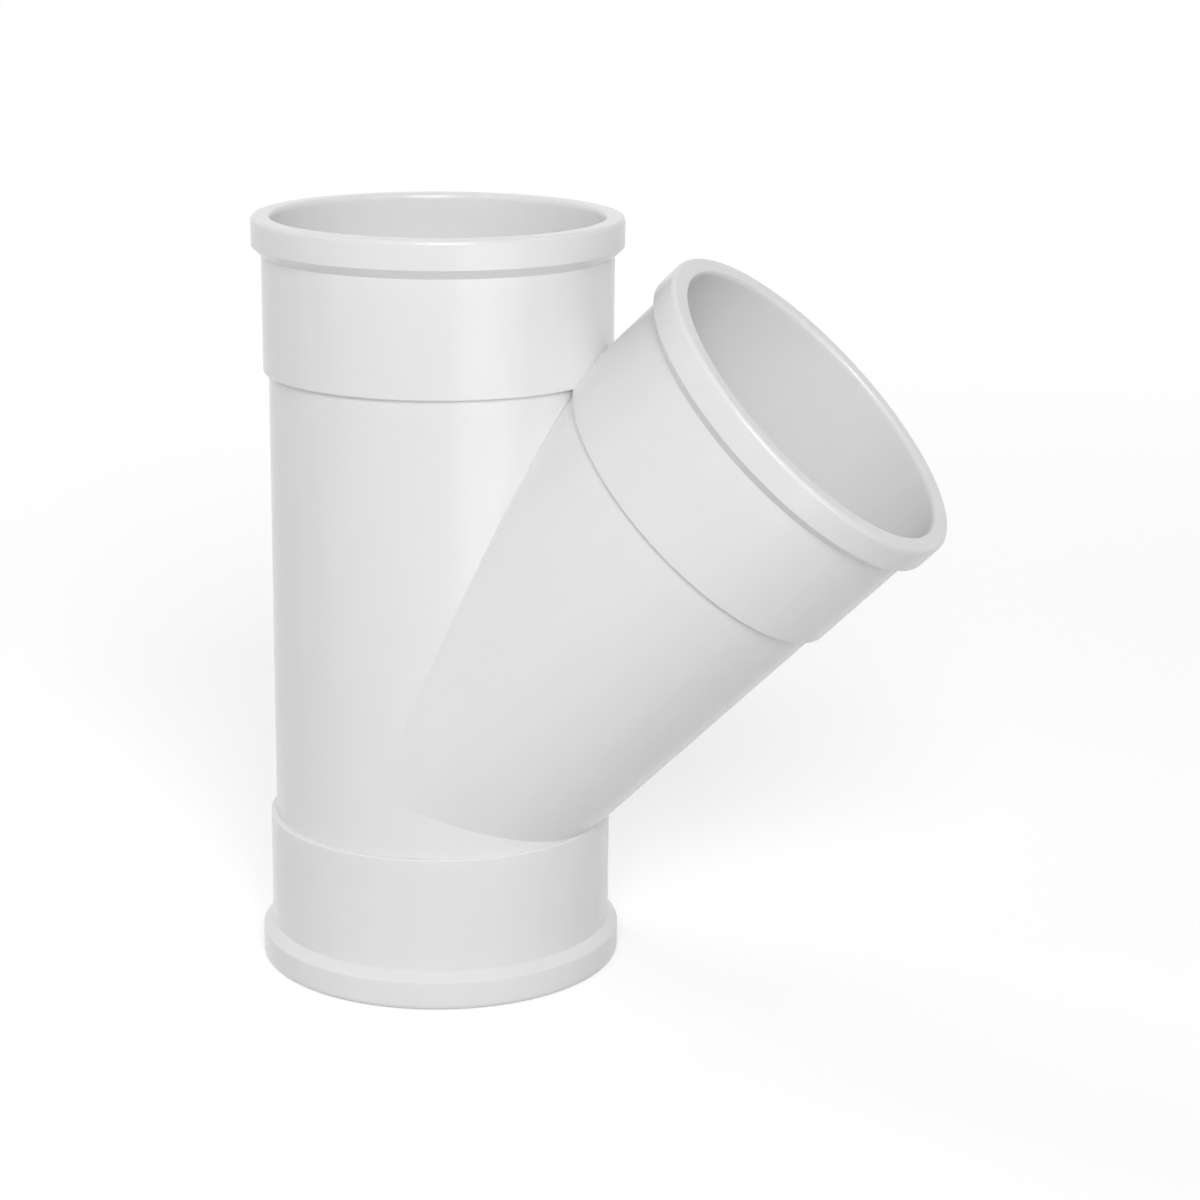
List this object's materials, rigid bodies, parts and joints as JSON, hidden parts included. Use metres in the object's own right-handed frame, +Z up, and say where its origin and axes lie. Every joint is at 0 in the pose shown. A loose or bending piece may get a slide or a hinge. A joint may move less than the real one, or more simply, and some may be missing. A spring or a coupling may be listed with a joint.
{
  "type": "lateral wye fitting",
  "caption": "White plastic 45 degree lateral wye for 110 mm soil pipe: a straight run and an equal slanted branch, with a plain lipped socket at every mouth.",
  "frame": {"origin": "centre of the lower mouth, on the plane that the fitting stands on", "axes": "+Z up the run's axis towards the upper mouth; the branch leaves at 45 degrees between +Z and +X; Y runs across the run and the branch"},
  "size_m": [0.2341, 0.1234, 0.256],
  "materials": {
    "white_pvc": "smooth moulded white PVC-U with a soft gloss"
  },
  "bodies": {
    "root": {"wye_body": "white_pvc"}
  },
  "joints": []
}
